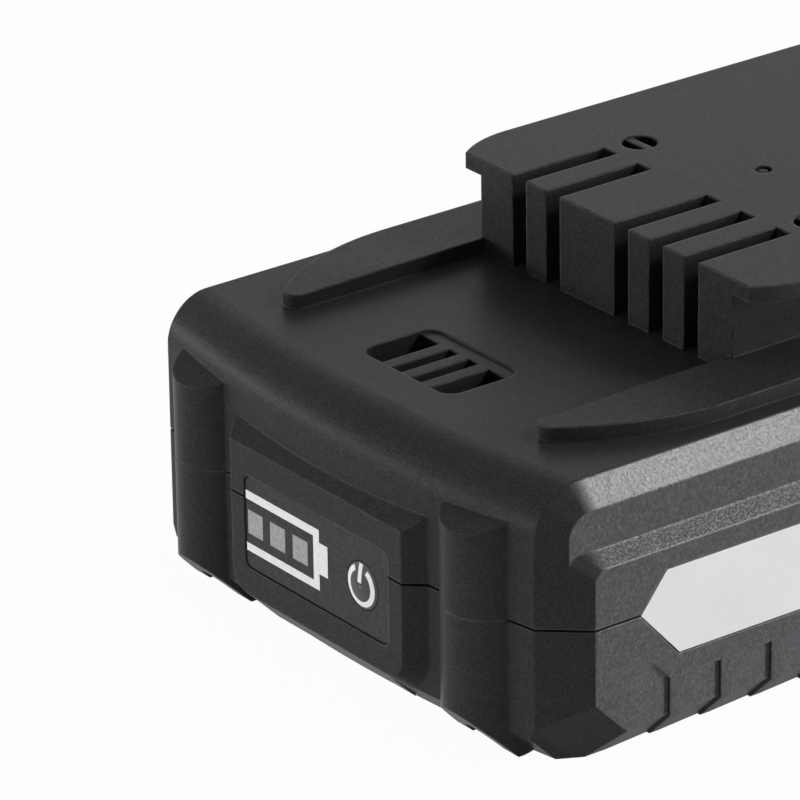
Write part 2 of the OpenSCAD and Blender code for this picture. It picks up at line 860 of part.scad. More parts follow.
module upper_casing() {
    color(casing_colour)
        difference() {
            union() {
                difference() {
                    union() {
                        intersection() {
                            union() {
                                casing_block();
                                screw_columns();
                                indicator_panel();
                            }
                            above_parting();
                        }
                        column_seams();
                        tower();
                        deck_rails();
                    }
                    cavity();
                }
                intersection() {
                    union() {
                        screw_bosses();
                        latch_guides();
                    }
                    above_parting();
                }
            }
            tongues(tongue_clear);
            tower_cuts();
            vent_cuts();
            indicator_cuts();
            label_plate(label_recess, 2, 0.15);
            pad_notch();
            translate([-hook_w / 2 - run_clear - 0.1, hook_y - run_clear - 0.1, ceiling_z - 1])
                cube([hook_w + 2 * run_clear + 0.2, hook_l + 2 * run_clear + 0.2, deck_t + 2]);
            screw_holes();
        }
}

// Slotted posts that hold the indicator board
module board_posts() {
    post = 2.4;
    for (side = [0, 1])
        mirror([side, 0, 0])
            translate([lamp_board_w / 2, lamp_board_front, 0])
                difference() {
                    translate([-post / 2, -1.6, deck_t / 2])
                        cube([post, lamp_board_t + 2.2, parting_z - 1.2 - deck_t / 2]);
                    translate([-post, -board_fit, lamp_board_z])
                        cube([post + board_fit, lamp_board_t + 2 * board_fit, far]);
                }
}

// Seats and pegs of the latch springs on the floor
module spring_seats() {
    for (side = [-1, 1])
        translate([side * spring_x, spring_y, deck_t / 2]) {
            cylinder(h = seat_z - deck_t / 2, r = coil_d / 2 + wire_d);
            cylinder(h = seat_z + seat_peg - deck_t / 2, r = peg_r);
        }
}

module lower_casing() {
    color(casing_colour)
        difference() {
            union() {
                difference() {
                    intersection() {
                        union() {
                            casing_block();
                            screw_columns();
                            indicator_panel();
                        }
                        below_parting();
                    }
                    cavity();
                }
                difference() {
                    tongues(0);
                    cavity();
                    pad_notch();
                }
                intersection() {
                    screw_bosses();
                    below_parting();
                }
                board_posts();
                spring_seats();
            }
            indicator_cuts();
            label_plate(label_recess, 2, 0.15);
            grip_cuts();
            screw_holes();
        }
}

module side_label() {
    color("#d9dbda") label_plate(label_recess, label_t, 0);
}

module indicator_film() {
    color("#2c2c2e")
        difference() {
            front_plate(0, film_z, film_front, film_t) rounded(film_w, film_h, film_r);
            front_plate(button_x, film_z, film_front - 1, film_t + 2) circle(d = button_d + 2 * button_fit);
        }
}

// Domed button with its stem and the collar that keeps it in the panel
module charge_button() {
    dome_r = (button_d * button_d / 4 + button_dome * button_dome) / (2 * button_dome);
    collar_y = bow_sag(button_x, bow_r - wall_t) - inner_c + 0.4;
    color("#303032")
        translate([button_x, film_front, film_z])
            rotate([-90, 0, 0]) {
                rotate_extrude()
                    intersection() {
                        translate([0, dome_r - button_dome]) circle(dome_r, $fn = 360);
                        translate([0, -button_dome]) square([button_d / 2, button_dome]);
                    }
                cylinder(h = button_disc, d = button_d);
                cylinder(h = button_end - film_front, d = stem_d);
                translate([0, 0, collar_y - film_front]) cylinder(h = 0.6, d = collar_d);
            }
}

// Clear bar with three posts that end behind the film
module light_guide() {
    post_w = window_w - 2 * guide_clear;
    post_h = window_h - 2 * guide_clear;
    bar_y = bow_sag(window_x - window_pitch - window_w, bow_r - wall_t) - inner_c + 0.1;
    color("#cfd3d6") {
        for (i = [-1 : 1])
            front_plate(window_x + i * window_pitch, film_z, film_floor, bar_y + 1 - film_floor)
                square([post_w, post_h], center = true);
        front_plate(window_x, film_z, bar_y, 1) square([2 * window_pitch + post_w, post_h], center = true);
    }
}

module indicator_leds() {
    color("#f2efe2")
        for (i = [-1 : 1])
            front_plate(window_x + i * window_pitch, film_z, lamp_board_front - led_h, led_h)
                square(led_size, center = true);
}

module tact_switch() {
    color(metal_colour) {
        front_plate(button_x, film_z, lamp_board_front - switch_h, switch_h) square(switch_w, center = true);
        front_plate(button_x, film_z, switch_y, switch_stem + 0.2) circle(d = plunger_d);
    }
}

module indicator_board() {
    color("#1f6b45")
        translate([-lamp_board_w / 2, lamp_board_front, lamp_board_z])
            cube([lamp_board_w, lamp_board_t, lamp_board_h]);
}

// Flat cable from the main board to the back of the indicator board
module indicator_ribbon() {
    run_z = board_top + ribbon_rise;
    end_z = lamp_board_z + lamp_board_h - 3;
    color("#8f9499")
        rotate([90, 0, 90])
            linear_extrude(ribbon_w, center = true)
                polygon([
                    [board_front + 0.5, run_z], [board_front + 0.5, run_z + ribbon_t],
                    [lamp_board_y, run_z + ribbon_t], [lamp_board_y, end_z],
                    [lamp_board_y + ribbon_t, end_z], [lamp_board_y + ribbon_t, run_z]
                ]);
}

// Frame, hook and finger pad of the latch in one moulding
module release_latch() {
    roll = roll_r - wall_t;
    flange_low = latch_top - latch_flange;
    pad_y = face_c + pad_out;
    pad_low = pad_top - pad_h;
    color(inner_colour)
        difference() {
            union() {
                rotate([90, 0, 90])
                    linear_extrude(latch_w, center = true)
                        polygon([
                            [hook_y - 0.6, flange_low], [hook_y - 0.6, latch_top],
                            [inner_c - roll - 0.4, latch_top], [latch_back, latch_top - 2.1],
                            [latch_back, shelf_z], [latch_front, shelf_z],
                            [latch_front, shelf_z + latch_wall],
                            [latch_back - latch_wall, shelf_z + latch_wall],
                            [latch_back - latch_wall, flange_low]
                        ]);
                rotate([90, 0, 90])
                    linear_extrude(hook_w, center = true)
                        polygon([
                            [hook_y, flange_low], [hook_y, deck_z + 0.5],
                            [hook_y + hook_l * 0.6, deck_z + hook_h],
                            [hook_y + hook_l, deck_z + hook_h], [hook_y + hook_l, flange_low]
                        ]);
                rotate([90, 0, 90])
                    linear_extrude(pad_w, center = true)
                        polygon([
                            [latch_back - 1, pad_low], [latch_back - 1, pad_top], [pad_y - 1.4, pad_top],
                            [pad_y, pad_top - 1.4], [pad_y, pad_low + 1], [pad_y - 1, pad_low]
                        ]);
                for (side = [-1, 1])
                    translate([side * spring_x, spring_y, shelf_z - shelf_peg])
                        cylinder(h = shelf_peg + 0.5, r = peg_r);
            }
            for (i = [-1 : 1])
                translate([0, pad_y + 0.4, pad_low + pad_h / 2 - 0.2 + i * 1.7])
                    rotate([0, 90, 0])
                        cylinder(h = far, r = 0.8, center = true);
        }
}

// Wire of a latch spring: rings of six points along a helix
module latch_spring(side) {
    sides = 6;
    per_turn = 8;
    count = coil_turns * per_turn;
    low = seat_z + wire_d / 2 + 0.05;
    rise = shelf_z - seat_z - wire_d - 0.1;
    centre = [for (k = [0 : count]) [
        coil_d / 2 * cos(360 * k / per_turn), coil_d / 2 * sin(360 * k / per_turn), low + rise * k / count
    ]];
    points = [for (k = [0 : count], s = [0 : sides - 1]) let (a = 360 * k / per_turn, b = 360 * s / sides) [
        (coil_d / 2 + wire_d / 2 * cos(b)) * cos(a), (coil_d / 2 + wire_d / 2 * cos(b)) * sin(a),
        centre[k][2] + wire_d / 2 * sin(b)
    ]];
    walls = [for (k = [0 : count - 1], s = [0 : sides - 1]) let (
        a = k * sides + s, b = k * sides + (s + 1) % sides
    ) each [[a, a + sides, b], [b, a + sides, b + sides]]];
    ends = [for (s = [1 : sides - 2]) each [
        [0, s, s + 1], [count * sides, count * sides + s + 1, count * sides + s]
    ]];
    gaps = [for (k = [0 : count - per_turn]) norm(centre[k + per_turn] - centre[k]) - wire_d];
    echo(str("latch spring, least gap between turns: ", min(gaps)));
    color(metal_colour)
        translate([side * spring_x, spring_y, 0])
            polyhedron(points, concat(walls, ends), convexity = 8);
}

// One cell along X, with its raised cap at the positive end
module cell(index) {
    positive = index % 2 == 0 ? 0 : 1;
    color("#2f7d6b")
        translate([0, (index - (cell_count - 1) / 2) * cell_pitch, cell_z])
            mirror([positive, 0, 0])
                rotate([0, 90, 0]) {
                    translate([0, 0, -cell_l / 2])
                        difference() {
                            cylinder(h = cell_l - cap_h, d = cell_d);
                            translate([0, 0, cell_l - 4.4])
                                rotate_extrude()
                                    translate([cell_d / 2 + 0.5, 0])
                                        circle(1);
                        }
                    cylinder(h = cell_l / 2, d = cap_d);
                }
}

module cell_insulators() {
    color("#ece6d2")
        for (i = [0 : cell_count - 1])
            translate([0, (i - (cell_count - 1) / 2) * cell_pitch, cell_z])
                mirror([i % 2, 0, 0])
                    rotate([0, 90, 0])
                        translate([0, 0, cell_l / 2 - cap_h])
                            difference() {
                                cylinder(h = ring_t, d = cell_d - 2 * ring_fit);
                                translate([0, 0, -1]) cylinder(h = ring_t + 2, d = cap_d + 2 * ring_fit);
                            }
}

// Moulded frame round one end of the row of cells
module cell_holder(side) {
    color(inner_colour)
        mirror([side < 0 ? 1 : 0, 0, 0])
            difference() {
                translate([holder_x - holder_grip, -holder_l / 2, deck_t])
                    cube([holder_grip, holder_l, holder_h]);
                for (i = [0 : cell_count - 1])
                    translate([0, (i - (cell_count - 1) / 2) * cell_pitch, cell_z])
                        rotate([0, 90, 0])
                            cylinder(h = far, d = bore_d);
                translate([board_screw_x, board_screw_y(side), holder_top - board_screw_l - 0.2])
                    cylinder(h = far, d = board_screw_d + 0.1);
            }
}

// Nickel strips on one side: pairs of cells, and a single end cell with its tab
module bus_strips(side) {
    first = side > 0 ? 1 : 0;
    singles = side > 0 ? [0] : [cell_count - 1];
    color(metal_colour)
        mirror([side < 0 ? 1 : 0, 0, 0]) {
            for (i = [first : 2 : cell_count - 2])
                strip_band(i, i + 1);
            for (i = singles)
                strip_band(i, i);
        }
}

// One strip over the cells a to b, with a tab bent over the edge of the board
module strip_band(a, b) {
    y_a = (a - (cell_count - 1) / 2) * cell_pitch;
    y_b = (b - (cell_count - 1) / 2) * cell_pitch;
    middle = (y_a + y_b) / 2;
    length = y_b - y_a + strip_w;
    translate([strip_x, y_a - strip_w / 2, cell_z - strip_w / 2]) cube([strip_t, length, strip_w]);
    translate([strip_x, middle - tab_w / 2, cell_z]) cube([strip_t, tab_w, board_top + strip_t - cell_z]);
    translate([board_w / 2 - board_edge, middle - tab_w / 2, board_top])
        cube([2 * board_edge + strip_t, tab_w, strip_t]);
}

module end_sheet(side) {
    color("#e4dfcf")
        mirror([side < 0 ? 1 : 0, 0, 0])
            translate([sheet_x, sheet_in - holder_l / 2, deck_t])
                cube([sheet_t, holder_l - 2 * sheet_in, holder_h - 1]);
}

module main_board() {
    color("#1f6b45")
        difference() {
            translate([-board_w / 2, board_front, board_z])
                cube([board_w, board_back - board_front, board_t]);
            for (side = [-1, 1])
                translate([side * board_screw_x, board_screw_y(side), board_z - 1])
                    cylinder(h = board_t + 2, d = board_screw_d + 0.4);
        }
}

// Carrier that holds the legs of the clips between board and deck
module terminal_block() {
    block_w = 5 * slot_pitch + slot_w + 2 * block_margin;
    color(inner_colour)
        difference() {
            translate([-block_w / 2, clip_back - block_set, board_top])
                cube([block_w, block_l, component_h - block_gap]);
            for (place = slot_places)
                translate([place * slot_pitch, clip_back - clip_t / 2, board_top])
                    cube([2 * (clip_half + clip_fit), clip_t + 2 * clip_fit, far], center = true);
        }
}

// Fork contacts: two leaves that close on the tool's blade, and a leg down to the board
module terminal_clips() {
    leaf = [
        [-clip_half, 0], [-clip_half, -2], [-0.7, 1 - clip_l], [-clip_half, -clip_l],
        [clip_t - clip_half, -clip_l], [clip_t - 0.7, 1 - clip_l],
        [clip_t - clip_half, -2], [clip_t - clip_half, 0]
    ];
    color("#c79a52")
        for (place = slot_places)
            translate([place * slot_pitch, clip_back, 0]) {
                translate([0, 0, deck_z + 0.6])
                    linear_extrude(tower_h - 3.6) {
                        polygon(leaf);
                        mirror([1, 0]) polygon(leaf);
                        translate([-clip_half, -clip_t]) square([2 * clip_half, clip_t]);
                    }
                translate([-clip_half, -clip_t, board_top])
                    cube([2 * clip_half, clip_t, deck_z + 1 - board_top]);
            }
}

// Three power transistors in a row behind the tower's slots
module mosfets() {
    color(chip_colour)
        for (i = [-1 : 1])
            translate([i * mosfet_pitch, mosfet_y, board_top]) {
                translate([-mosfet_size[0] / 2, 0, 0]) cube(mosfet_size);
                translate([-mosfet_tab[0] / 2, mosfet_size[1] - 1.1, 0]) cube(mosfet_tab);
            }
}

module controller_chip() {
    color(chip_colour) translate(concat(controller_place, board_top)) cube(controller_size);
}

module shunt_resistor() {
    color(chip_colour) translate(concat(shunt_place, board_top)) cube(shunt_size);
}

module capacitor() {
    color("#4a5a8c") translate(concat(capacitor_place, board_top)) cylinder(h = capacitor_h, d = capacitor_d);
}

module ribbon_connector() {
    color("#e8e4d8")
        difference() {
            translate([-header_size[0] / 2, board_front + 0.2, board_top]) cube(header_size);
            translate([-ribbon_w / 2 - ribbon_fit, board_front, board_top + ribbon_rise - ribbon_fit])
                cube([ribbon_w + 2 * ribbon_fit, 2.5, ribbon_t + 2 * ribbon_fit]);
        }
}

// Bead between two cells, with its two leads up to the board
module thermistor() {
    touch = cell_d / 2 + bead_r + 0.05;
    bead_z = cell_z + sqrt(touch * touch - cell_pitch * cell_pitch / 4);
    middle = cell_pitch / 2;
    color("#26272a") {
        translate([-bead_l / 2, middle, bead_z]) rotate([0, 90, 0]) cylinder(h = bead_l, r = bead_r);
        for (x = [-lead_x, lead_x])
            translate([x, middle, bead_z]) cylinder(h = board_z - bead_z, d = lead_d);
    }
}

module casing_screws() {
    color(metal_colour)
        each_corner()
            translate([column_x, column_y, screw_seat_z])
                difference() {
                    union() {
                        translate([0, 0, -screw_head_h]) cylinder(h = screw_head_h, d = screw_head_d);
                        cylinder(h = screw_l, d = screw_d);
                    }
                    for (turn = [0, 90])
                        translate([0, 0, -screw_head_h])
                            rotate([0, 0, turn])
                                cube([2.8, 0.8, 2], center = true);
                }
}

module board_screws() {
    color(metal_colour)
        for (side = [-1, 1])
            translate([side * board_screw_x, board_screw_y(side), board_top]) {
                cylinder(h = board_head_h, d = board_head_d);
                translate([0, 0, -board_t - board_screw_l])
                    cylinder(h = board_t + board_screw_l, d = board_screw_d);
            }
}

upper_casing();
lower_casing();
side_label();
indicator_film();
charge_button();
light_guide();
indicator_leds();
tact_switch();
indicator_board();
indicator_ribbon();
release_latch();
latch_spring(-1);  // latch_spring_left
latch_spring(1);  // latch_spring_right
cell(0);  // cell_1
cell(1);  // cell_2
cell(2);  // cell_3
cell(3);  // cell_4
cell(4);  // cell_5
cell_insulators();
cell_holder(-1);  // cell_holder_left
cell_holder(1);  // cell_holder_right
bus_strips(-1);  // bus_strips_left
bus_strips(1);  // bus_strips_right
end_sheet(-1);  // end_sheet_left
end_sheet(1);  // end_sheet_right
main_board();
terminal_block();
terminal_clips();
mosfets();
controller_chip();
shunt_resistor();
capacitor();
ribbon_connector();
thermistor();
casing_screws();
board_screws();
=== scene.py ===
from math import cos, radians, sin

import bpy
import numpy as np
from mathutils import Matrix, Vector


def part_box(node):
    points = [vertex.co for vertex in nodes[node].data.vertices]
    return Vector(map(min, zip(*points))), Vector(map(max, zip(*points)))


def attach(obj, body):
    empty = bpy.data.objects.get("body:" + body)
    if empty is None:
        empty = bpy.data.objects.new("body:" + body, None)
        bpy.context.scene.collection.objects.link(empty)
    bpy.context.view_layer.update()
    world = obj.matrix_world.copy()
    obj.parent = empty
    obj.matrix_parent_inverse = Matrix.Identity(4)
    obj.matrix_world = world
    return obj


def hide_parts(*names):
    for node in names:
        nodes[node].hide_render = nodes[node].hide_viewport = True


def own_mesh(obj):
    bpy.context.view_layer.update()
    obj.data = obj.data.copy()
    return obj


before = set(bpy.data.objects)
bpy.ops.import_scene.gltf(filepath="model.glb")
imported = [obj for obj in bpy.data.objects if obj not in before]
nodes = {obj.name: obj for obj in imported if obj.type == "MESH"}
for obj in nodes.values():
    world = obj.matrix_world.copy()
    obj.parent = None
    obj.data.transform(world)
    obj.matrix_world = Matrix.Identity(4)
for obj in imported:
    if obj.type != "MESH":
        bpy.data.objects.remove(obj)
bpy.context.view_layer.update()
MM = 0.001


# Five round cells lie side by side in the casing. Each is a steel can in a shrunk PVC sleeve,
# which is glossy, with faint creases where it was drawn over the can.
NOISE_SPAN = (0.3, 0.7)


def linear(code, alpha=1.0):
    """sRGB hex to linear: c / 12.92 below 0.04045, else ((c + 0.055) / 1.055) ** 2.4."""
    c = np.array([int(code[i:i + 2], 16) for i in (1, 3, 5)]) / 255
    return (*np.where(c <= 0.04045, c / 12.92, ((c + 0.055) / 1.055) ** 2.4).tolist(), alpha)


def add(tree, kind, settings=None, inputs=None):
    """Adds a node, sets its properties, and gives its inputs a value or a link from a socket."""
    node = tree.nodes.new(kind)
    for key, value in (settings or {}).items():
        setattr(node, key, value)
    for key, value in (inputs or {}).items():
        if isinstance(value, bpy.types.NodeSocket):
            tree.links.new(value, node.inputs[key])
        else:
            node.inputs[key].default_value = value
    return node


def finish_of(name, values):
    """A new material, its node tree and its shader, with values on the shader's own sockets."""
    material = bpy.data.materials.new(name)
    material.use_nodes = True
    shader = material.node_tree.nodes["Principled BSDF"]
    for key, value in values.items():
        shader.inputs[key].default_value = value
    return material, material.node_tree, shader


def noise(tree, place, size_mm, detail=2.0):
    """Noise with features of a real size; most of its values lie in NOISE_SPAN."""
    inputs = {"Vector": place, "Scale": 1 / (size_mm * MM), "Detail": detail}
    return add(tree, "ShaderNodeTexNoise", None, inputs).outputs["Fac"]


def span(tree, value, reach=(0.0, 1.0), result=(0.0, 1.0)):
    """A value brought from one range to another, and held at its ends."""
    inputs = {"Value": value, "From Min": reach[0], "From Max": reach[1],
              "To Min": result[0], "To Max": result[1]}
    return add(tree, "ShaderNodeMapRange", None, inputs).outputs["Result"]


def times(tree, a, b):
    """The product of two values."""
    return add(tree, "ShaderNodeMath", {"operation": "MULTIPLY"}, {0: a, 1: b}).outputs[0]


def mottle(tree, size_mm, low, high, detail=2.0):
    """Colour that drifts between two hex tones over patches of a real size."""
    place = add(tree, "ShaderNodeTexCoord").outputs["Object"]
    patches = noise(tree, place, size_mm, detail)
    ramp = add(tree, "ShaderNodeValToRGB", None, {"Fac": patches})
    for stop, position, tone in zip(ramp.color_ramp.elements, NOISE_SPAN, (low, high)):
        stop.position, stop.color = position, linear(tone)
    return ramp.outputs["Color"]


def roughen(tree, shader, size_mm, height_mm, low, high):
    """Grain of a real size and height: a bump on the surface, and a roughness that follows it."""
    place = add(tree, "ShaderNodeTexCoord").outputs["Object"]
    grain = noise(tree, place, size_mm)
    bump = add(tree, "ShaderNodeBump", None, {"Height": grain, "Distance": height_mm * MM})
    tree.links.new(span(tree, grain, result=(low, high)), shader.inputs["Roughness"])
    tree.links.new(bump.outputs["Normal"], shader.inputs["Normal"])


def paint(material, *names):
    """The material for CAD nodes that keep their own solids."""
    for name in names:
        nodes[name].data.materials.clear()
        nodes[name].data.materials.append(material)


sleeve, tree, shader = finish_of("shrunk_pvc_sleeve", {"IOR": 1.53})
tree.links.new(mottle(tree, 14, "#2b7563", "#34866f"), shader.inputs["Base Color"])
roughen(tree, shader, 5, 0.02, 0.22, 0.34)
paint(sleeve, "cell_1", "cell_2", "cell_3", "cell_4", "cell_5")

# Two moulded frames hold the ends of the cells, and the terminal block under the deck holds the
# contact legs. All three are plain black glass-filled nylon, left as it comes from the mould.
inner_nylon, tree, shader = finish_of("glass_filled_nylon", {"IOR": 1.53})
tree.links.new(mottle(tree, 3, "#28292b", "#303134"), shader.inputs["Base Color"])
roughen(tree, shader, 0.6, 0.02, 0.5, 0.62)
paint(inner_nylon, "cell_holder_left", "cell_holder_right", "terminal_block")

# Nickel strips are spot-welded across the cells' ends, with tabs bent up to the board.
# They are rolled, with a soft grey shine.
nickel, tree, shader = finish_of("rolled_nickel", {"Metallic": 1.0})
tree.links.new(mottle(tree, 4, "#b4b3ae", "#c8c6c0"), shader.inputs["Base Color"])
roughen(tree, shader, 0.5, 0.004, 0.28, 0.4)
paint(nickel, "bus_strips_left", "bus_strips_right")

# Paper rings under the cells' caps and a fish-paper sheet over each side keep the strips apart.
# Pressed fibre paper is matt, pale and slightly flecked.
fibre_paper, tree, shader = finish_of("pressed_fibre_paper", {"IOR": 1.45})
tree.links.new(mottle(tree, 1.2, "#ddd5bb", "#ece6d0"), shader.inputs["Base Color"])
roughen(tree, shader, 0.4, 0.015, 0.75, 0.9)
paint(fibre_paper, "cell_insulators", "end_sheet_left", "end_sheet_right")

# The main board lies on the cell frames, and the small board stands behind the indicator.
# Both are glass-epoxy laminate under a green solder mask, which is smooth and half glossy.
solder_mask, tree, shader = finish_of("solder_mask_on_laminate", {"IOR": 1.55})
tree.links.new(mottle(tree, 2.5, "#1b603e", "#237349"), shader.inputs["Base Color"])
roughen(tree, shader, 1.5, 0.006, 0.28, 0.42)
paint(solder_mask, "main_board", "indicator_board")

# Power transistors, the controller, the shunt and the temperature bead are moulded in black epoxy.
# The resin is fine-grained and dull, a shade off black.
chip_resin, tree, shader = finish_of("moulded_epoxy", {"IOR": 1.55})
tree.links.new(mottle(tree, 1, "#1b1c1e", "#242528"), shader.inputs["Base Color"])
roughen(tree, shader, 0.3, 0.008, 0.45, 0.6)
paint(chip_resin, "mosfets", "controller_chip", "shunt_resistor", "thermistor")

# The buffer capacitor stands on the main board, under the hollow of the tower.
# It is an aluminium can in a smooth blue sleeve.
can_sleeve, tree, shader = finish_of("capacitor_sleeve", {"IOR": 1.5})
tree.links.new(mottle(tree, 3, "#39477a", "#4a5a90"), shader.inputs["Base Color"])
roughen(tree, shader, 2, 0.006, 0.25, 0.35)
paint(can_sleeve, "capacitor")

# The ribbon to the indicator plugs into a header on the main board.
# The header is ivory nylon, and the ribbon a grey flat cable.
header_nylon, tree, shader = finish_of("ivory_nylon", {"IOR": 1.53})
tree.links.new(mottle(tree, 2, "#ddd8c8", "#e9e5d9"), shader.inputs["Base Color"])
roughen(tree, shader, 0.5, 0.01, 0.4, 0.55)
paint(header_nylon, "ribbon_connector")
flat_cable, tree, shader = finish_of("flat_cable_film", {"IOR": 1.5})
tree.links.new(mottle(tree, 1, "#82878c", "#979ca1"), shader.inputs["Base Color"])
roughen(tree, shader, 0.8, 0.01, 0.35, 0.5)
paint(flat_cable, "indicator_ribbon")

# Five fork contacts stand in the tower's slots, with their legs in the terminal block.
# They are stamped from bronze strip, worn to a patchy brown gold.
bronze, tree, shader = finish_of("stamped_bronze", {"Metallic": 1.0})
tree.links.new(mottle(tree, 2.5, "#8a6a3c", "#b58a4c"), shader.inputs["Base Color"])
roughen(tree, shader, 0.4, 0.004, 0.3, 0.46)
paint(bronze, "terminal_clips")

# Behind the indicator sit three lamps, a light guide and a small switch, all on the small board.
# They are cast resin, clear acrylic, and a switch with a tinned steel cover.
lamp_resin, tree, shader = finish_of("cast_lamp_resin", {"IOR": 1.52})
tree.links.new(mottle(tree, 0.6, "#e8e2c8", "#f5f1e2"), shader.inputs["Base Color"])
roughen(tree, shader, 0.5, 0.004, 0.15, 0.25)
paint(lamp_resin, "indicator_leds")
clear_acrylic, tree, shader = finish_of("clear_acrylic", {"IOR": 1.49, "Transmission Weight": 0.6})
tree.links.new(mottle(tree, 3, "#ccd2d6", "#dde2e5"), shader.inputs["Base Color"])
roughen(tree, shader, 1.2, 0.003, 0.12, 0.22)
paint(clear_acrylic, "light_guide")
tinned_steel, tree, shader = finish_of("tinned_steel", {"Metallic": 1.0})
tree.links.new(mottle(tree, 1.5, "#b9bcc0", "#cdd0d3"), shader.inputs["Base Color"])
roughen(tree, shader, 0.4, 0.003, 0.25, 0.36)
paint(tinned_steel, "tact_switch")

# Screws: four long ones up through the columns, two short ones for the board.
# They are rolled steel with a thin cool grey coat of zinc.
zinc, tree, shader = finish_of("zinc_plated_steel", {"Metallic": 1.0})
tree.links.new(mottle(tree, 1.2, "#9fa4aa", "#bfc4c9"), shader.inputs["Base Color"])
roughen(tree, shader, 0.3, 0.003, 0.28, 0.42)
paint(zinc, "casing_screws", "board_screws")

# Lower and upper shell are moulded from dark grey plastic in spark-eroded tools, and close on each
# other at a fine open line. The tower and deck rails are part of the upper one. The side walls have
# a coarser grain than the ends and the deck, and sparkle; their colour is also painted lighter, a
# painted light for the stronger light that falls on the sides.
EDGE_R, EDGE_SAMPLES = 0.42 * MM, 16
SIDE_X, SIDE_BORDER = 34.0 * MM, 0.1 * MM
TIP_Y, TIP_BORDER = 48.4 * MM, 0.9 * MM
ACROSS, RAISED, SLOPED, FOOT = (0.55, 0.1), (-0.5, -0.2), (0.3, 0.6), (-0.6, -0.2)
BENT, OPEN_AIR, AIR_REACH, AIR_SAMPLES = (0.97, 0.78), (0.8, 0.97), 0.8 * MM, 8
RUB_AND_HIGHLIGHT_MM, RUB_AND_HIGHLIGHT_SHARE = 2, (0.05, 0.65)
FINE_MM, COARSE_MM, COARSE_DRAW, COARSE_DETAIL = 0.22, 0.3, (1.0, 1.0, 0.8), 3.0
PATCH_MM, PATCH_DETAIL, FLECKS, GLINT_POWER = 1.2, 3.0, (0.82, 1.18), 3.6
GLOSS, FOOT_GLOSS, SIDE_ROUGH = (0.05, 0.24), (0.35, 1.0), (1.0, 0.6)
GRAIN_H = (0.012 * MM, 0.024 * MM)


def moulded(name, low, high, pale, side_light_gain, rough):
    """Moulded plastic. Its tone drifts over patches and is broken by grain flecks, which also set
    roughness, glints and bump. On the side walls, |x| over SIDE_X with a normal that is neither
    endways nor downwards, it is glossier and coarser, and its colour is made lighter by the side
    gain, a painted light for the light falling on the sides. Their slopes lose this at |y| = TIP_Y.
    Edges are rounded by the shader, and paler where a convex one is rubbed: rubbed plastic and a
    painted edge highlight in one."""
    material, tree, shader = finish_of(name, {"IOR": 1.5})
    where = add(tree, "ShaderNodeTexCoord")
    place = where.outputs["Object"]
    half = add(tree, "ShaderNodeVectorMath", {"operation": "ABSOLUTE"}, {0: place}).outputs[0]
    apart = add(tree, "ShaderNodeSeparateXYZ", None, {0: half}).outputs
    lean = add(tree, "ShaderNodeSeparateXYZ", None, {0: where.outputs["Normal"]}).outputs
    endways = add(tree, "ShaderNodeMath", {"operation": "ABSOLUTE"}, {0: lean["Y"]}).outputs[0]

    out = span(tree, apart["X"], (SIDE_X - SIDE_BORDER, SIDE_X + SIDE_BORDER))
    tip = span(tree, apart["Y"], (TIP_Y - TIP_BORDER, TIP_Y + TIP_BORDER))
    along = span(tree, times(tree, tip, span(tree, lean["Z"], SLOPED)), result=(1.0, 0.0))
    wall = times(tree, out, span(tree, endways, ACROSS))
    side = times(tree, times(tree, wall, along), span(tree, lean["Z"], RAISED))

    soft = add(tree, "ShaderNodeBevel", {"samples": EDGE_SAMPLES}, {"Radius": EDGE_R})
    flat = add(tree, "ShaderNodeNewGeometry")
    turn = add(tree, "ShaderNodeVectorMath", {"operation": "DOT_PRODUCT"},
               {0: soft.outputs["Normal"], 1: flat.outputs["Normal"]}).outputs["Value"]
    air = add(tree, "ShaderNodeAmbientOcclusion", {"samples": AIR_SAMPLES}, {"Distance": AIR_REACH})
    # Convex, open edges are picked out here and turned paler below: rubbed plastic and a painted
    # highlight along the edge.
    edge = times(tree, span(tree, turn, BENT), span(tree, air.outputs["AO"], OPEN_AIR))
    wear_and_highlight = times(tree, edge, span(tree, noise(tree, place, RUB_AND_HIGHLIGHT_MM), NOISE_SPAN, RUB_AND_HIGHLIGHT_SHARE))

    drawn = add(tree, "ShaderNodeVectorMath", {"operation": "MULTIPLY"}, {0: place, 1: COARSE_DRAW})
    fine = noise(tree, place, FINE_MM)
    coarse = noise(tree, drawn.outputs[0], COARSE_MM, COARSE_DETAIL)
    grain = add(tree, "ShaderNodeMix", {"data_type": "FLOAT"}, {0: side, 2: fine, 3: coarse})
    grain = grain.outputs[0]
    flecks = span(tree, grain, NOISE_SPAN, FLECKS)

    # The side walls' colour is lightened here by the side gain: painted light for the light on the
    # sides.
    level = times(tree, flecks, span(tree, side, result=(1.0, side_light_gain)))
    patches = mottle(tree, PATCH_MM, low, high, PATCH_DETAIL)
    tone = add(tree, "ShaderNodeVectorMath", {"operation": "SCALE"}, {0: patches, "Scale": level})
    # Paler edges mixed into the colour: rubbed plastic, and a painted edge highlight.
    worn_and_highlit = add(tree, "ShaderNodeMix", {"data_type": "RGBA"},
               {0: wear_and_highlight, 6: tone.outputs[0], 7: linear(pale)})
    polish = times(tree, span(tree, grain, NOISE_SPAN, rough), span(tree, side, result=SIDE_ROUGH))
    glints = add(tree, "ShaderNodeMath", {"operation": "POWER"}, {0: flecks, 1: GLINT_POWER})
    sheen = times(tree, span(tree, side, result=GLOSS), span(tree, lean["Z"], FOOT, FOOT_GLOSS))
    depth = span(tree, side, result=GRAIN_H)
    bump = add(tree, "ShaderNodeBump", None,
               {"Height": grain, "Distance": depth, "Normal": soft.outputs["Normal"]})
    tree.links.new(worn_and_highlit.outputs[2], shader.inputs["Base Color"])
    tree.links.new(polish, shader.inputs["Roughness"])
    tree.links.new(times(tree, sheen, glints.outputs[0]), shader.inputs["Specular IOR Level"])
    tree.links.new(bump.outputs["Normal"], shader.inputs["Normal"])
    return material


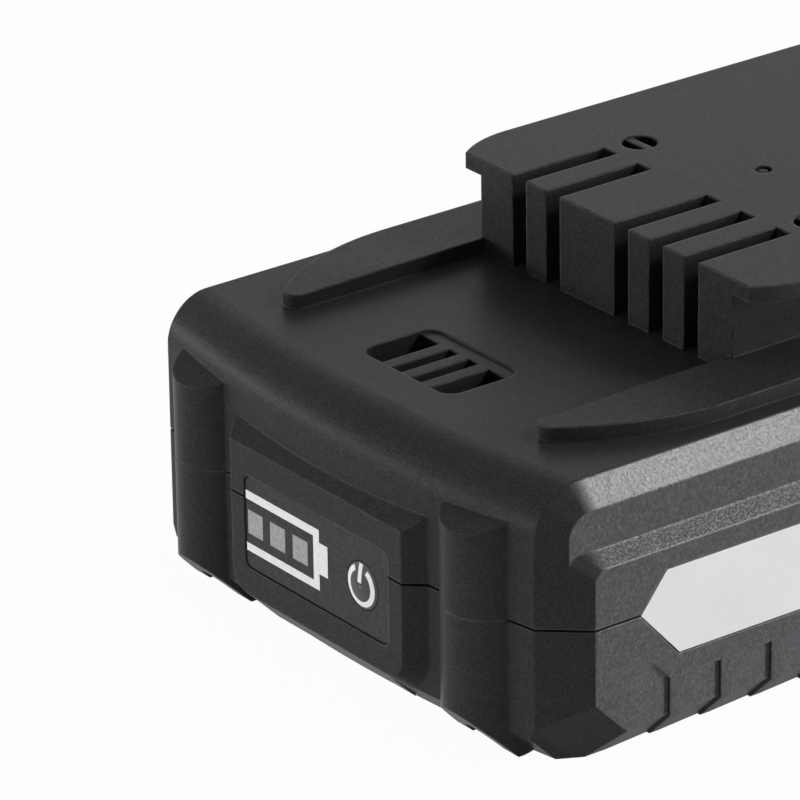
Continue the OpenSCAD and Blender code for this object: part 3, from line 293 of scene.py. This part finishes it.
# Its pale #707072 colours the paler convex edges: rubbed plastic and a painted edge highlight.
# The 2.2 makes the side walls' colour that much lighter: painted light on the sides.
casing = moulded("spark_eroded_plastic", "#313133", "#353537", "#707072", 2.2, (0.3, 0.46))
paint(casing, "lower_casing", "upper_casing")

# The release latch is one black nylon moulding: frame, hook and ribbed finger pad.
# It slides up and down between ribs inside the rear wall.
# Its pale #545557 edges are rubbed nylon and a painted edge highlight; its side gain of 1.0 paints
# no light.
latch_nylon = moulded("black_nylon", "#252628", "#2b2c2e", "#545557", 1.0, (0.34, 0.46))
paint(latch_nylon, "release_latch")

# Two springs stand on pegs in the lower shell and push the latch's shelf up. They are wound from
# drawn steel wire, bright with faint dull patches. The coil is built at one length and does not
# close up with the latch.
WIRE_R, COIL_R, COIL_TURNS = 0.25, 2.0, 6
TURN_STEPS, RING_STEPS = 24, 10
SEAT_Z, SHELF_Z, LATCH_TRAVEL = 4.4, 13.0, 4.0
END_GAP = 0.05
spring_wire, tree, shader = finish_of("drawn_spring_wire", {"Metallic": 1.0})
tree.links.new(mottle(tree, 0.8, "#9fa4aa", "#c3c8cd"), shader.inputs["Base Color"])
roughen(tree, shader, 0.3, 0.003, 0.24, 0.36)


def coil(x, y):
    """Wire on a helix with flat ends, in mm. At turn angle a and ring angle b the point is
    (R + r cos b) from the axis, turned by a, at a height that rises evenly with a from the seat
    to the shelf, plus r sin b."""
    a, b = np.meshgrid(np.linspace(0, 2 * np.pi * COIL_TURNS, TURN_STEPS * COIL_TURNS + 1),
                       np.linspace(0, 2 * np.pi, RING_STEPS, endpoint=False), indexing="ij")
    inset = WIRE_R + END_GAP
    rise = (SHELF_Z - SEAT_Z - 2 * inset) * a / a[-1, 0]
    reach = COIL_R + WIRE_R * np.cos(b)
    height = SEAT_Z + inset + rise + WIRE_R * np.sin(b)
    points = np.stack([x + reach * np.cos(a), y + reach * np.sin(a), height], -1)
    at = np.arange(a.size).reshape(a.shape)
    ahead = np.roll(at, -1, axis=1)
    walls = np.stack([at[:-1], at[1:], ahead[1:], ahead[:-1]], -1).reshape(-1, 4)
    return points.reshape(-1, 3) * MM, walls.tolist() + [at[0].tolist(), at[-1, ::-1].tolist()]


for side in ("left", "right"):
    node = "latch_spring_" + side
    middle = np.mean(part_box(node), axis=0)
    wire_mesh = bpy.data.meshes.new("spring_wire_" + side)
    points, faces = coil(middle[0] / MM, middle[1] / MM)
    wire_mesh.from_pydata(points.tolist(), [], faces)
    wire_mesh.polygons.foreach_set("use_smooth", [len(face) == 4 for face in faces])
    wire_mesh.materials.append(spring_wire)
    piece = bpy.data.objects.new("spring_wire_" + side, wire_mesh)
    bpy.context.scene.collection.objects.link(piece)
    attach(piece, "pack")
    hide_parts(node)
    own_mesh(piece)

# A bare light grey plate lies flush in the right side, across the parting line.
# It is smooth plastic with a low sheen, glued into its recess.
plate, tree, shader = finish_of("printed_plastic_plate", {"IOR": 1.5})
tree.links.new(mottle(tree, 12, "#e0e2e1", "#e4e6e5"), shader.inputs["Base Color"])
roughen(tree, shader, 0.8, 0.002, 0.4, 0.48)
paint(plate, "side_label")

# The indicator film lies in the front panel's recess, and the button stands in its hole.
# The film is a matt polycarbonate foil, and the button is rubber.
film, tree, shader = finish_of("matt_polycarbonate_film", {"IOR": 1.58, "Specular IOR Level": 0.06})
tree.links.new(mottle(tree, 0.4, "#323234", "#424244", 3.0), shader.inputs["Base Color"])
roughen(tree, shader, 0.25, 0.008, 0.36, 0.46)
paint(film, "indicator_film")
button_rubber, tree, shader = finish_of("moulded_rubber", {"IOR": 1.52, "Specular IOR Level": 0.3})
tree.links.new(mottle(tree, 0.4, "#2e2e30", "#3c3c3e", 3.0), shader.inputs["Base Color"])
roughen(tree, shader, 0.25, 0.006, 0.28, 0.36)
paint(button_rubber, "charge_button")

# The film's printing: an open battery outline and three grey windows over the lamps, in ink a few
# hundredths thick. The sign on the button is printed on its dome and moves with it.
FILM_Y = -58.65
INK_T, INK_SINK = 0.03, 0.024
DOME_R, DOME_H = 11.375, 0.35
BUTTON_X, BUTTON_Z = 8.6, 14.0
SIGN_X, SIGN_Z = 8.47, 13.96
RING_FROM, RING_TO, RING_R = 118, 422, (1.85, 2.5)
BAR_X, BAR_Z = (-0.33, 0.33), (0.45, 2.7)
OUTLINE_X, OUTLINE_Z = (-13.25, -0.5, 0.58, 2.15), (10.35, 11.33, 16.77, 17.82)
CAP_Z = (12.41, 16.27)
WINDOWS_X, WINDOW_Z = ((-12.9, -10.1), (-8.7, -5.85), (-4.4, -1.6)), (12.54, 15.49)


def slab(x, y, z):
    """Vertices and faces of a closed layer: a front grid (x, y, z arrays of one shape, in mm), the
    same grid INK_T deeper, and a band of quads round the rim."""
    front = np.stack([x, y - INK_T, z], -1).reshape(-1, 3)
    back = np.stack([x, y, z], -1).reshape(-1, 3)
    at = np.arange(x.size).reshape(x.shape)
    cell = np.stack([at[:-1, :-1], at[1:, :-1], at[1:, 1:], at[:-1, 1:]], -1).reshape(-1, 4)
    rim = np.concatenate([at[:-1, 0], at[-1, :-1], at[:0:-1, -1], at[0, :0:-1]])
    ahead = np.roll(rim, -1)
    band = np.stack([ahead, rim, rim + x.size, ahead + x.size], -1)
    return np.concatenate([front, back]), np.concatenate([cell, cell[:, ::-1] + x.size, band])


def printed(name, layers, material, body):
    """One piece from several layers, riding on a body."""
    starts = np.cumsum([0] + [len(points) for points, _ in layers[:-1]])
    points = np.concatenate([p for p, _ in layers]) * MM
    faces = np.concatenate([f + start for (_, f), start in zip(layers, starts)])
    mesh = bpy.data.meshes.new(name)
    mesh.from_pydata(points.tolist(), [], faces.tolist())
    mesh.materials.append(material)
    piece = bpy.data.objects.new(name, mesh)
    bpy.context.scene.collection.objects.link(piece)
    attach(piece, body)


def box_layer(x0, x1, z0, z1):
    """A flat rectangle of ink on the film."""
    x, z = np.meshgrid(np.linspace(x0, x1, 2), np.linspace(z0, z1, 2), indexing="ij")
    return slab(x, np.full_like(x, FILM_Y), z)


def dome_layer(x, z):
    """Ink on the dome: y is the dome's sphere, DOME_R - sqrt(DOME_R^2 - r^2) behind its top, and
    the ink's back lies INK_SINK inside it."""
    r2 = (x - BUTTON_X) ** 2 + (z - BUTTON_Z) ** 2
    return slab(x, FILM_Y - DOME_H + DOME_R - np.sqrt(DOME_R ** 2 - r2) + INK_SINK, z)


white_ink, tree, shader = finish_of("white_screen_ink", {"IOR": 1.5})
tree.links.new(mottle(tree, 0.5, "#ebebe9", "#f4f4f2"), shader.inputs["Base Color"])
roughen(tree, shader, 0.15, 0.002, 0.45, 0.6)
printed("battery_sign", [
    box_layer(*OUTLINE_X[:2], *OUTLINE_Z[2:]),
    box_layer(*OUTLINE_X[:2], *OUTLINE_Z[:2]),
    box_layer(*OUTLINE_X[1:3], OUTLINE_Z[0], OUTLINE_Z[3]),
    box_layer(*OUTLINE_X[2:], *CAP_Z),
], white_ink, "pack")
turn, ring = np.meshgrid(np.radians(np.linspace(RING_FROM, RING_TO, 77)), np.linspace(*RING_R, 4),
                         indexing="ij")
bar_x, bar_z = np.meshgrid(np.linspace(*BAR_X, 4), np.linspace(*BAR_Z, 12), indexing="ij")
printed("standby_sign", [
    dome_layer(SIGN_X + ring * np.cos(turn), SIGN_Z + ring * np.sin(turn)),
    dome_layer(SIGN_X + bar_x, SIGN_Z + bar_z),
], white_ink, "charge_button")
grey_window, tree, shader = finish_of("frosted_window_ink", {"IOR": 1.5})
tree.links.new(mottle(tree, 0.35, "#8b8b8b", "#a9a9a9", 3.0), shader.inputs["Base Color"])
roughen(tree, shader, 0.2, 0.004, 0.4, 0.55)
printed("lamp_windows", [box_layer(*window, *WINDOW_Z) for window in WINDOWS_X],
        grey_window, "pack")

# Floor, backdrop and light of a plain white studio. The floor and the world are white to the camera
# and in reflections, and the floor keeps the pack's own soft shadow.
FLOOR_SIZE, FLOOR_DROP, FLOOR_WHITE = 3.0, 0.0001, 0.97
AMBIENT, LAMP_AIM = 0.02, (0, 0, 0.02)
floor_mesh = bpy.data.meshes.new("studio_floor")
corners = np.array([[-1, -1, 0], [1, -1, 0], [1, 1, 0], [-1, 1, 0]]) * FLOOR_SIZE
floor_mesh.from_pydata((corners - [0, 0, FLOOR_DROP]).tolist(), [], [(0, 1, 2, 3)])
floor = bpy.data.objects.new("studio_floor", floor_mesh)
bpy.context.scene.collection.objects.link(floor)


def white_when_seen(tree, lit, share):
    """Mixes plain white over a shader for camera, glossy and transmission rays, by a share."""
    ray = add(tree, "ShaderNodeLightPath")
    mirrored = add(tree, "ShaderNodeMath", {"operation": "MAXIMUM"},
                   {0: ray.outputs["Is Glossy Ray"], 1: ray.outputs["Is Transmission Ray"]})
    seen = add(tree, "ShaderNodeMath", {"operation": "MAXIMUM"},
               {0: ray.outputs["Is Camera Ray"], 1: mirrored.outputs[0]})
    part = times(tree, seen.outputs[0], share)
    glow = add(tree, "ShaderNodeEmission", None, {"Color": (1, 1, 1, 1), "Strength": 1.0})
    mix = add(tree, "ShaderNodeMixShader", None, {0: part, 1: lit, 2: glow.outputs[0]})
    return mix.outputs[0]


paper, tree, shader = finish_of("white_studio_paper",
                                {"Base Color": linear("#efefef"), "Roughness": 0.9})
floor_mesh.materials.append(paper)
tree.links.new(white_when_seen(tree, shader.outputs[0], FLOOR_WHITE),
               tree.nodes["Material Output"].inputs["Surface"])
world = bpy.data.worlds.new("studio")
bpy.context.scene.world = world
world.use_nodes = True
tree = world.node_tree
sky = tree.nodes["Background"]
sky.inputs["Color"].default_value = (1, 1, 1, 1)
sky.inputs["Strength"].default_value = AMBIENT
tree.links.new(white_when_seen(tree, sky.outputs[0], 1.0),
               tree.nodes["World Output"].inputs["Surface"])


def softbox(name, direction, distance, width, height, power, facing=None):
    """An area lamp, in m and W, at a distance along a direction from the middle of the pack. It is
    turned to the pack, or away from `facing`."""
    lamp = bpy.data.lights.new(name, "AREA")
    lamp.shape, lamp.size, lamp.size_y, lamp.energy = "RECTANGLE", width, height, power
    box = bpy.data.objects.new(name, lamp)
    way = Vector(direction).normalized()
    box.location = way * distance + Vector(LAMP_AIM)
    box.rotation_euler = Vector(facing or way).to_track_quat("Z", "Y").to_euler()
    box.visible_camera = False
    bpy.context.scene.collection.objects.link(box)


softbox("strip_right_rear", (0.56, 0.545, 0.625), 0.9, 0.2, 0.2, 3.0)
softbox("low_rear", (0.55, 0.82, 0.16), 0.9, 0.5, 0.3, 5.5)
softbox("side_right", (0.97, 0.15, 0.15), 0.9, 0.5, 0.3, 0.5)
softbox("low_left", (-0.75, -0.65, 0.03), 1.0, 0.8, 0.3, 6.0)
softbox("low_front", (-0.14, -0.99, 0.02), 1.0, 0.8, 0.1, 2.6)
softbox("floor_card", (-0.2, -0.97, 0.08), 0.2, 0.45, 0.22, 0.11, (0, 0, 1))
softbox("overhead", (0.0, 0.1, 1.0), 1.2, 0.8, 0.8, 2.1)
softbox("rear_left", (-0.73, 0.55, 0.41), 1.2, 0.8, 0.8, 0.8)

# Camera of the photograph: a long lens from the front right, a little above.
# Its place, turn and focal length were solved from points measured on the photo.
AZIMUTH, ELEVATION, ROLL = radians(53.35), radians(23.97), radians(-0.87)
EYE = (0.5185, -0.4325, 0.3174)
SENSOR_MM, FOCAL_MM, CLIP_END = 36.0, 286.4, 10.0
back = Vector((sin(AZIMUTH) * cos(ELEVATION), -cos(AZIMUTH) * cos(ELEVATION), sin(ELEVATION)))
level = Vector((cos(AZIMUTH), sin(AZIMUTH), 0))
rise = back.cross(level)
right = level * cos(ROLL) + rise * sin(ROLL)
up = rise * cos(ROLL) - level * sin(ROLL)
lens = bpy.data.cameras.new("studio_camera")
lens.sensor_width, lens.lens, lens.clip_end = SENSOR_MM, FOCAL_MM, CLIP_END
camera = bpy.data.objects.new("studio_camera", lens)
camera.matrix_world = Matrix((
    (right.x, up.x, back.x, EYE[0]),
    (right.y, up.y, back.y, EYE[1]),
    (right.z, up.z, back.z, EYE[2]),
    (0, 0, 0, 1),
))
bpy.context.scene.collection.objects.link(camera)
bpy.context.scene.camera = camera
bpy.context.scene.view_settings.view_transform = "Standard"
